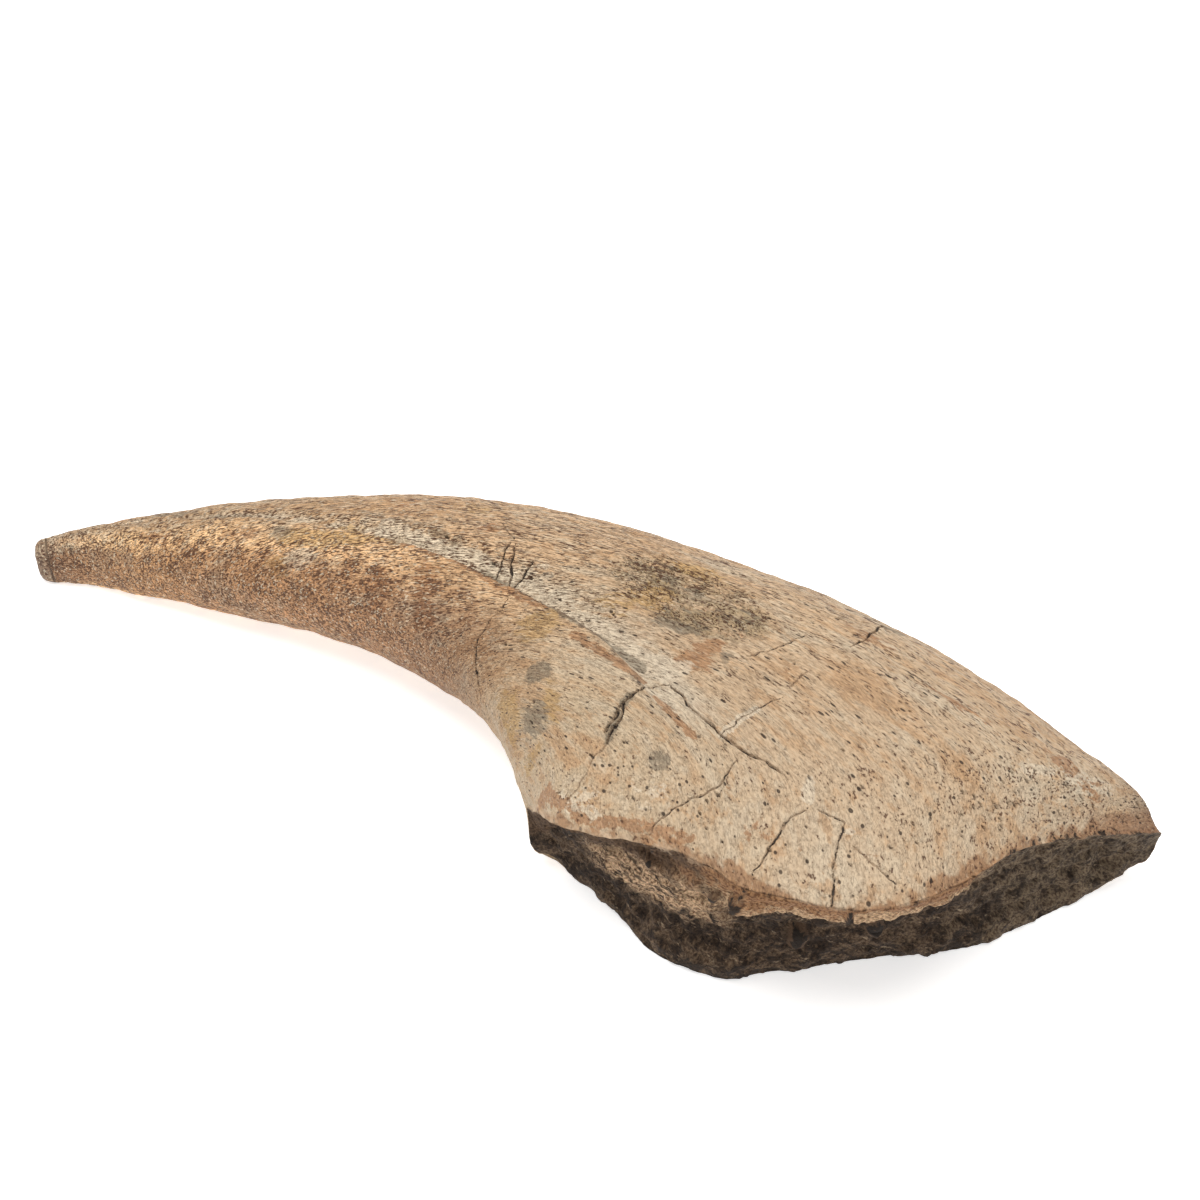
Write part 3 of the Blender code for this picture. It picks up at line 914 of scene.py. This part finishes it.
class Finish:
    # one material and the nodes that lead to its shader
    def __init__(self, name):
        self.material = bpy.data.materials.new(name)
        self.material.use_nodes = True
        self.tree = self.material.node_tree
        self.shader = self.tree.nodes["Principled BSDF"]

    def add(self, kind, settings, sockets, out=0):
        node = self.tree.nodes.new(kind)
        for name, value in settings.items():
            if name == "stops":
                self.setStops(node.color_ramp, value)
            else:
                setattr(node, name, value)
        for name, value in sockets.items():
            self.feed(node, name, value)
        return Wire(self, [socket for socket in node.outputs if socket.enabled][out])

    def setStops(self, ramp, stops):
        while len(ramp.elements) < len(stops):
            ramp.elements.new(0.5)
        for element, (position, colour) in zip(ramp.elements, stops):
            element.position = position
            element.color = (*colour, 1)

    def feed(self, node, name, value):
        shown = [socket for socket in node.inputs if socket.enabled]
        if isinstance(name, int):
            target = shown[name]
        else:
            target = next(socket for socket in shown if socket.name == name)
        if isinstance(value, Wire):
            self.tree.links.new(value.socket, target)
        elif target.type == "RGBA":
            target.default_value = (*value[:3], 1)
        else:
            target.default_value = value

    def attribute(self, name, out=2):
        # output 2 is a single number, output 1 a vector
        return self.add("ShaderNodeAttribute", {"attribute_name": name}, {}, out)

    def between(self, value, low, high):
        # 0 below low, 1 above high, smooth between; low may be the higher one
        settings = {"interpolation_type": "SMOOTHSTEP"}
        return self.add("ShaderNodeMapRange", settings, {"Value": value, "From Min": low, "From Max": high})

    def inside(self, value, opens, closes):
        # 1 between the pair of values where it opens and the pair where it closes
        return self.between(value, *opens) * self.between(value, *closes)

    def stretched(self, vector, size, shift):
        sockets = {0: vector, 1: tuple(1 / length for length in size), 2: (shift, shift, shift)}
        return self.add("ShaderNodeVectorMath", {"operation": "MULTIPLY_ADD"}, sockets)

    def noise(self, vector, size, shift=0.0, detail=3.0, rough=0.55):
        # grains of the given size in mm along, across and up
        sockets = {"Vector": self.stretched(vector, size, shift), "Scale": 1.0}
        return self.add("ShaderNodeTexNoise", {}, sockets | {"Detail": detail, "Roughness": rough})

    def cells(self, vector, size, shift=0.0, out=0):
        sockets = {"Vector": self.stretched(vector, size, shift), "Scale": 1.0}
        return self.add("ShaderNodeTexVoronoi", {}, sockets, out)

    def mix(self, factor, first, second, blend="MIX"):
        settings = {"data_type": "RGBA", "blend_type": blend}
        return self.add("ShaderNodeMix", settings, {"Factor": factor, "A": first, "B": second})

    def ramp(self, value, stops):
        return self.add("ShaderNodeValToRGB", {"stops": stops}, {"Fac": value})

    def parts(self, vector):
        return [self.add("ShaderNodeSeparateXYZ", {}, {"Vector": vector}, axis) for axis in range(3)]

    def finishWith(self, colour, roughness, height):
        self.feed(self.shader, "Base Color", colour)
        self.feed(self.shader, "Roughness", roughness)
        bump = self.add("ShaderNodeBump", {}, {"Strength": 1.0, "Distance": mm, "Height": height})
        self.feed(self.shader, "Normal", bump)
        return self.material


# The bone's colours, as linear red, green and blue. A fourth number is how much that coat covers.
boneTones = {
    # along the claw from base to tip, on the back side and on the belly side
    "back": (
        (0, (0.53, 0.4, 0.27)), (0.2, (0.52, 0.37, 0.235)), (0.38, (0.51, 0.345, 0.21)),
        (0.55, (0.49, 0.32, 0.185)), (0.75, (0.41, 0.265, 0.15)), (0.9, (0.39, 0.26, 0.155)),
        (0.985, (0.4, 0.28, 0.185)), (1, (0.26, 0.165, 0.1)),
    ),
    "belly": (
        (0, (0.5, 0.375, 0.245)), (0.15, (0.52, 0.395, 0.26)), (0.3, (0.57, 0.385, 0.23)),
        (0.45, (0.71, 0.445, 0.24)), (0.6, (0.87, 0.545, 0.285)), (0.8, (0.9, 0.58, 0.3)),
        (0.97, (0.56, 0.36, 0.215)), (1, (0.28, 0.175, 0.105)),
    ),
    "pale": (0.56, 0.46, 0.335),
    "warm": (0.50, 0.30, 0.155),
    "umber": (0.31, 0.19, 0.105),
    "lowSide": (0.30, 0.165, 0.09, 0.8),
    "paintedShade": (0.52, 0.44, 0.40),  # painted shade, multiplied in to darken the shaft's belly edge and the back edge
    "fleck": (0.74, 0.62, 0.45),
    "speckle": (0.10, 0.042, 0.02, 0.88),
    "pore": (0.045, 0.028, 0.018, 0.9),
    # the crack tones also colour the painted shade line under the groove's lip
    "crack": (0.02, 0.015, 0.012, 0.9),
    "crackEdge": (0.20, 0.12, 0.07, 0.5),
    "furrow": (0.13, 0.065, 0.035),
    "groove": (0.60, 0.51, 0.39, 0.75),
    "chalk": (0.64, 0.54, 0.41),
    "ash": (0.17, 0.14, 0.10),
    "ochre": (0.45, 0.28, 0.115),
    "rust": (0.33, 0.155, 0.065),
    "spongy": (0.34, 0.25, 0.145, 0.8),
    # the clouds of paler, warmer and darker bone: which noise, strength
    "clouds": (("largeCloud", 0.6), ("smallCloud", 0.5)),
    # the stains in the order they lie: strength, how ragged, how much they cover
    "stains": (
        ("ochre", 1.15, 2.2, 0.7), ("rust", 1.3, 2.6, 0.7), ("chalk", 1.1, 2.2, 0.7),
        ("ash", 1.1, 1.9, 0.65),
    ),
    # the broken base
    "breakDark": (0.035, 0.021, 0.013),
    "breakLight": (0.15, 0.10, 0.062),
    "breakFleck": (0.46, 0.35, 0.24, 0.55),
    "breakGrey": (0.215, 0.16, 0.105, 0.75),
    "rimBand": (0.31, 0.16, 0.075, 0.8),
    "rimBead": (0.52, 0.35, 0.21),
    "rimBandDark": (0.115, 0.068, 0.038),
    "ledge": (0.56, 0.38, 0.235, 0.95),
    # a painted highlight along the rim's edge
    "rimHighlight": (0.62, 0.46, 0.31, 0.6),
    # multiplied into the bone along its fibres, from the dirt in the furrows to the rubbed crests
    "fibres": (
        (0, (0.27, 0.17, 0.11)), (0.25, (0.66, 0.57, 0.5)), (0.5, (1.06, 1.05, 1.02)),
        (1, (1.7, 1.7, 1.66)),
    ),
}


# The noises of the bone: grain in mm along the fibres, across and up, then shift, detail and roughness.
boneGrain = {
    "drift": ((30, 14, 14), 3.1, 3),
    "largeCloud": ((20, 11, 11), 7.7, 3, 0.65),
    "smallCloud": ((4.6, 2.6, 2.6), 15.1, 3, 0.65),
    "grooveDirt": ((6, 2, 2), 4.9, 3),
    "sponge": ((5, 4, 4), 21.1, 5, 0.7),
    "spongeDark": ((4, 1.6, 1.6), 23, 3, 0.6),
    "stainEdge": ((2, 1.6, 1.6), 10.6, 4, 0.7),
    "cloud": ((3.4, 2.4, 2.4), 41, 2),
    "patch": ((9, 6, 5), 17.7, 4, 0.6),
    "fibre": ((2.6, 0.3, 0.3), 0.7, 2, 0.6),
    "pits": ((0.75, 0.42, 0.42), 5.9, 2, 0.6),
    "furrow": ((4, 1.1, 1.1), 31, 4, 0.7),
    "fleck": ((1, 0.5, 0.5), 12.1, 2, 0.6),
    "grit": ((2.4, 1.6, 1.6), 9.1, 6, 0.75),
    "flake": ((3.2, 0.7, 1), 14.3, 5, 0.75),
    "crackEdge": ((1.6, 1.2, 1.2), 27.3, 3, 0.6),
}
poreCells = ((1.9, 1.2, 1.2), 2.2)
flakeLean = ((125, -9), (40, 22))  # mm for the whole rim and the whole height, on each axis of the flakes
# Gloss, and the height in mm of what only the shading shows.
boneSurface = {
    "roughness": 0.62,
    "pitRoughness": 0.3,
    "brokenRoughness": 0.2,
    "specular": 0.3,
    "fibreHeight": 0.3,
    "pitHeight": 0.35,
    "speckDepth": 0.06,
    "poreDepth": 0.2,
    "furrowDepth": 0.06,
    "gritHeight": 1.3,
    "flakeHeight": 0.7,
}


def grains(finish, space, kind):
    return finish.noise(space, *boneGrain[kind])


def coat(finish, under, tone, mask, blend="MIX"):
    # lays one of boneTones over what is there
    red, green, blue, *covers = boneTones[tone]
    amount = mask * covers[0] if covers else mask
    return finish.mix(amount, under, (red, green, blue), blend)


def boneColour(finish, grain, along, place):
    # the bone's own colour with its clouds, the groove, the spongy patch and the stains
    tones = boneTones
    side = finish.between(place + (grains(finish, grain, "drift") - 0.5) * 0.8, -0.15, -0.75)
    bone = finish.mix(side, finish.ramp(along, tones["back"]), finish.ramp(along, tones["belly"]))
    for kind, strength in tones["clouds"]:
        cloud = grains(finish, grain, kind)
        bone = coat(finish, bone, "pale", finish.between(cloud, 0.52, 0.66) * strength)
        bone = coat(finish, bone, "warm", finish.between(cloud, 0.47, 0.36) * strength)
        bone = coat(finish, bone, "umber", finish.between(cloud, 0.41, 0.32) * strength * 0.5)
    groove = finish.attribute("groove") * finish.between(grains(finish, grain, "grooveDirt"), 0.3, 0.5)
    bone = coat(finish, bone, "groove", groove)
    sponge = finish.attribute("sponge") * finish.between(grains(finish, grain, "sponge"), 0.4, 0.56)
    bone = coat(finish, bone, "spongy", sponge)
    dark = sponge * finish.between(grains(finish, grain, "spongeDark"), 0.5, 0.6)
    bone = coat(finish, bone, "ash", dark * 0.75)
    ragged = grains(finish, grain, "stainEdge")
    for tone, gain, raggedness, covers in tones["stains"]:
        amount = finish.attribute(tone) * gain + (ragged - 0.5) * raggedness
        bone = coat(finish, bone, tone, finish.between(amount, 0.34, 0.62) * covers)
        ragged = 1 - ragged
    return bone, side, sponge


def rockColour(finish, patch, grit, shade, rim, share, rise):
    # the broken base: dark spongy rock, a rounded brown band under the rim and a paler flaky ledge
    tones = boneTones
    light = finish.between(grit + (patch - 0.5) * 0.6, 0.42, 0.62)
    rock = finish.mix(light, tones["breakDark"], tones["breakLight"])
    grey = finish.between(share + (patch - 0.5) * 0.5, 0.62, 0.78) * finish.between(grit, 0.36, 0.58)
    rock = coat(finish, rock, "breakGrey", grey)
    x, y = (share * around + rise * up for around, up in flakeLean)
    flake = grains(finish, finish.add("ShaderNodeCombineXYZ", {}, {0: x, 1: y, 2: 0.0}), "flake")
    rock = coat(finish, rock, "breakFleck", finish.between(flake, 0.58, 0.68))
    edge = rim + (patch - 0.5) * 6 + (grit - 0.5) * 4
    dark = finish.between(edge, -5.2, -4.2) * finish.between(share, 0.42, 0.3)
    rock = coat(finish, rock, "rimBandDark", dark * 0.85)
    bead = finish.between(edge + (grit - 0.5) * 14, -2.4, -5.0)
    rounded = coat(finish, tones["rimBand"], "rimBead", bead)
    rounded = coat(finish, rounded, "rimBandDark", finish.between(grit, 0.42, 0.34))
    band = finish.between(edge, -9.6, -8.6) * finish.between(share + (patch - 0.5) * 0.2, 0.27, 0.35)
    rock = finish.mix(band * finish.between(share, 0.72, 0.66) * 0.95, rock, rounded)
    ledge = finish.inside(share, (0.1, 0.17), (0.38, 0.3)) * finish.inside(rise, (0.34, 0.46), (0.82, 0.7))
    rock = coat(finish, rock, "ledge", ledge * finish.between(flake, 0.42, 0.54))
    rock = finish.mix(0.85, rock, finish.ramp(shade, tones["fibres"]), "MULTIPLY")
    return rock, flake


def boneFinish():
    finish = Finish("fossil bone")
    tones, surface = boneTones, boneSurface
    grain = finish.attribute("grain", 1)
    along, place, rise = finish.parts(finish.attribute("where", 1))
    share = (place + 1) * 0.5
    rim = finish.attribute("rim")
    bone, side, sponge = boneColour(finish, grain, along, place)
    shared = ("cloud", "patch", "fibre", "pits", "grit")
    cloud, patch, fibre, pits, grit = (grains(finish, grain, kind) for kind in shared)

    # the brown fringe and the dark back corner at the rim, then painted shade along the belly and back edges
    fringe = finish.between(rim + (patch - 0.5) * 9 + (cloud - 0.5) * 6, 2.0, 0.4)
    fringe = fringe * finish.between(share, 0.03, 0.12)
    bone = coat(finish, bone, "rimBand", fringe)
    corner = finish.between(share, 0.84, 0.92) * finish.between(rim + (patch - 0.5) * 6, 5.0, 3.0)
    bone = coat(finish, bone, "lowSide", corner)
    # painted shade: the belly edge of the shaft darker
    low = finish.between(place + (cloud - 0.5) * 0.5, -0.62, -0.9) * finish.between(along, 0.16, 0.36)
    bone = coat(finish, bone, "paintedShade", low, "MULTIPLY")
    # painted shade: the back edge a little darker
    backEdgeShade = finish.between(place + (cloud - 0.5) * 0.15, 0.86, 0.97)
    bone = coat(finish, bone, "paintedShade", backEdgeShade * 0.45, "MULTIPLY")

    # fine grain: fibres, pits full of dark dirt, hairline furrows, pale flecks; stronger away from the base
    outer = finish.between(along, 0.1, 0.45)
    lengthwise = outer * 0.45 + 0.1
    across = 1 - lengthwise
    shade = finish.between(fibre, 0.32, 0.68) * lengthwise + finish.between(pits, 0.32, 0.68) * across
    bone = finish.mix(outer * 0.75 + 0.25, bone, finish.ramp(shade, tones["fibres"]), "MULTIPLY")
    shaft = finish.between(along, 0.3, 0.45) * side
    dirt = pits * across + fibre * lengthwise - shaft * 0.02 - outer * 0.12 - sponge * 0.09
    dirt = dirt - finish.between(place, -0.2, 0.6) * (1 - outer) * 0.06
    specks = finish.between(dirt + (cloud - 0.5) * 0.35, 0.35, 0.29)
    bone = coat(finish, bone, "speckle", specks)
    furrow = finish.between(abs(grains(finish, grain, "furrow") - 0.5), 0.014, 0.004)
    bone = coat(finish, bone, "furrow", furrow * (outer * 0.6 + 0.15))
    flecks = finish.between(grains(finish, grain, "fleck") + outer * 0.03, 0.62, 0.68)
    bone = coat(finish, bone, "fleck", flecks * (outer * 0.5 + 0.2))

    # small vessel pores: stretched cells of many sizes, only some of them open
    chance, other, _ = finish.parts(finish.cells(grain, *poreCells, 1))
    cell = finish.cells(grain, *poreCells) + other * 0.16
    pore = finish.between(cell, 0.27, 0.18) * finish.between(chance, 0.35, 0.45)
    pore = pore * finish.between(along, 0.5, 0.3)
    bone = coat(finish, bone, "pore", pore)
    bone = coat(finish, bone, "pore", finish.attribute("pore"))

    # where the bone ends and the broken base starts, ragged towards the back corner
    rock, flake = rockColour(finish, patch, grit, shade, rim, share, rise)
    blurred = finish.inside(share, (0.6, 0.76), (0.97, 0.9)) * 9 + 1.5
    broken = finish.between(rim + (grit - 0.5) * blurred + (patch - 0.5) * blurred * 0.6, 0.3, -0.5)
    colour = finish.mix(broken, bone, rock)
    # painted highlight: a pale line along the rim's edge on the belly side
    line = finish.inside(rim + (pits - 0.5) * 2, (-0.9, -0.3), (1.0, 0.4))
    line = line * finish.inside(share, (0.36, 0.24), (0.0, 0.04)) * finish.between(cloud, 0.4, 0.55)
    colour = coat(finish, colour, "rimHighlight", line)

    # cracks and the painted shade line under the groove's lip, in one mask
    crack = finish.attribute("crack")
    colour = coat(finish, colour, "crackEdge", finish.between(crack, 0.02, 0.35))
    deep = finish.between(crack + (grains(finish, grain, "crackEdge") - 0.5) * 2.4, 0.5, 0.8)
    colour = coat(finish, colour, "crack", deep)

    onBone = (fibre - 0.5) * surface["fibreHeight"] + (pits - 0.5) * surface["pitHeight"]
    onBone = onBone - specks * surface["speckDepth"] - pore * surface["poreDepth"]
    onBone = onBone - furrow * surface["furrowDepth"]
    onRock = (grit - 0.5) * surface["gritHeight"] + (flake - 0.5) * surface["flakeHeight"]
    roughness = surface["roughness"] + (pits - 0.5) * surface["pitRoughness"]
    finish.shader.inputs["Specular IOR Level"].default_value = surface["specular"]
    return finish.finishWith(
        colour, roughness + broken * surface["brokenRoughness"], onBone * (1 - broken) + onRock * broken
    )


claw = makeClaw()
claw.data.materials.append(boneFinish())
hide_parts("claw")
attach(claw, "root")
print("claw in place")

studio = {
    "floorSize": 30.0,
    "floorGap": 0.02 * mm,  # how far the floor lies under the claw
    "floorColour": (0.9, 0.9, 0.9, 1),
    "floorRoughness": 0.9,
    "floorSpecular": 0.1,
    "floorGlow": 0.62,  # light the floor gives off, so that it stays white right up to the claw
    "worldColour": (1.0, 1.0, 1.0, 1),
    "worldStrength": 0.42,
    "keyPlace": (-0.15, 0.12, 1.55),
    "keySize": 1.6,
    "keyPower": 27.5,
    "keyColour": (1.0, 0.98, 0.95),
    "cameraPlace": (0.0135, -0.2215, 0.189),
    "cameraDown": 35.0,
    "lens": 48.0,
    "sensorWidth": 36.0,
    "nearestShown": 0.01,
}


def makeFloor():
    mesh = bpy.data.meshes.new("floor")
    half = studio["floorSize"] / 2
    corners = [(-half, -half, 0), (half, -half, 0), (half, half, 0), (-half, half, 0)]
    mesh.from_pydata(corners, [], [(0, 1, 2, 3)])
    floor = bpy.data.objects.new("floor", mesh)
    floor.location.z = -studio["floorGap"]
    bpy.context.scene.collection.objects.link(floor)
    finish = Finish("pale floor")
    finish.shader.inputs["Base Color"].default_value = studio["floorColour"]
    finish.shader.inputs["Roughness"].default_value = studio["floorRoughness"]
    finish.shader.inputs["Specular IOR Level"].default_value = studio["floorSpecular"]
    finish.shader.inputs["Emission Strength"].default_value = studio["floorGlow"]
    mesh.materials.append(finish.material)


def makeLight(name, place, size, power, colour):
    light = bpy.data.lights.new(name, "AREA")
    light.shape = "DISK"
    light.size = size
    light.energy = power
    light.color = colour
    lamp = bpy.data.objects.new(name, light)
    lamp.location = place
    lamp.rotation_euler = (-Vector(place)).to_track_quat("-Z", "Y").to_euler()
    bpy.context.scene.collection.objects.link(lamp)


def makeStudio():
    scene = bpy.context.scene
    world = bpy.data.worlds.new("studio")
    world.use_nodes = True
    background = world.node_tree.nodes["Background"]
    background.inputs["Color"].default_value = studio["worldColour"]
    background.inputs["Strength"].default_value = studio["worldStrength"]
    scene.world = world
    scene.view_settings.view_transform = "Standard"
    makeLight("key", studio["keyPlace"], studio["keySize"], studio["keyPower"], studio["keyColour"])
    camera = bpy.data.objects.new("camera", bpy.data.cameras.new("camera"))
    camera.data.lens = studio["lens"]
    camera.data.sensor_width = studio["sensorWidth"]
    camera.data.clip_start = studio["nearestShown"]
    camera.location = studio["cameraPlace"]
    camera.rotation_euler = (math.radians(90 - studio["cameraDown"]), 0, 0)
    scene.collection.objects.link(camera)
    scene.camera = camera


makeFloor()
makeStudio()
print("studio ready")
